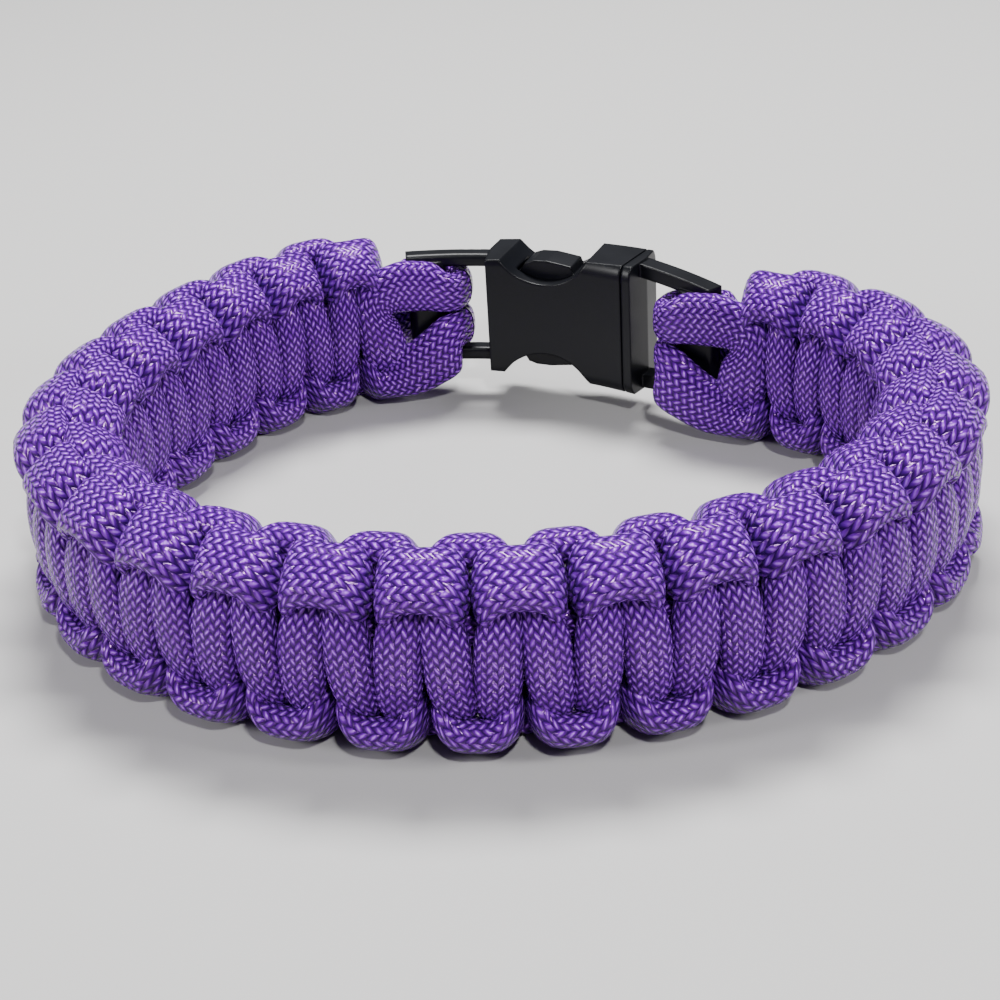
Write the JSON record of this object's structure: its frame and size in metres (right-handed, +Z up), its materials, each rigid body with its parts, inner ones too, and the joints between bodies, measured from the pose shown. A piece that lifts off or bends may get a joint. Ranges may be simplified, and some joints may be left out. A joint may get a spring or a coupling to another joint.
{
  "type": "paracord bracelet",
  "caption": "Cobra-weave cord bracelet lying on its side: four woven strands looped round the bars of a curved side-release buckle.",
  "frame": {"origin": "on the surface that the ring lies on, under the middle of its box", "axes": "+Z up through the ring, across the width of the band; +X to the right with the buckle at the back; +Y to the back"},
  "size_m": [0.0902, 0.0778, 0.0192],
  "materials": {
    "cord": "purple braided nylon sheath with a silky sheen",
    "buckle": "black moulded acetal, satin"
  },
  "bodies": {
    "root": {"outer_cord": "cord", "inner_cord": "cord", "upper_core": "cord", "lower_core": "cord", "buckle_socket": "buckle", "buckle_plug": "buckle"}
  },
  "joints": []
}
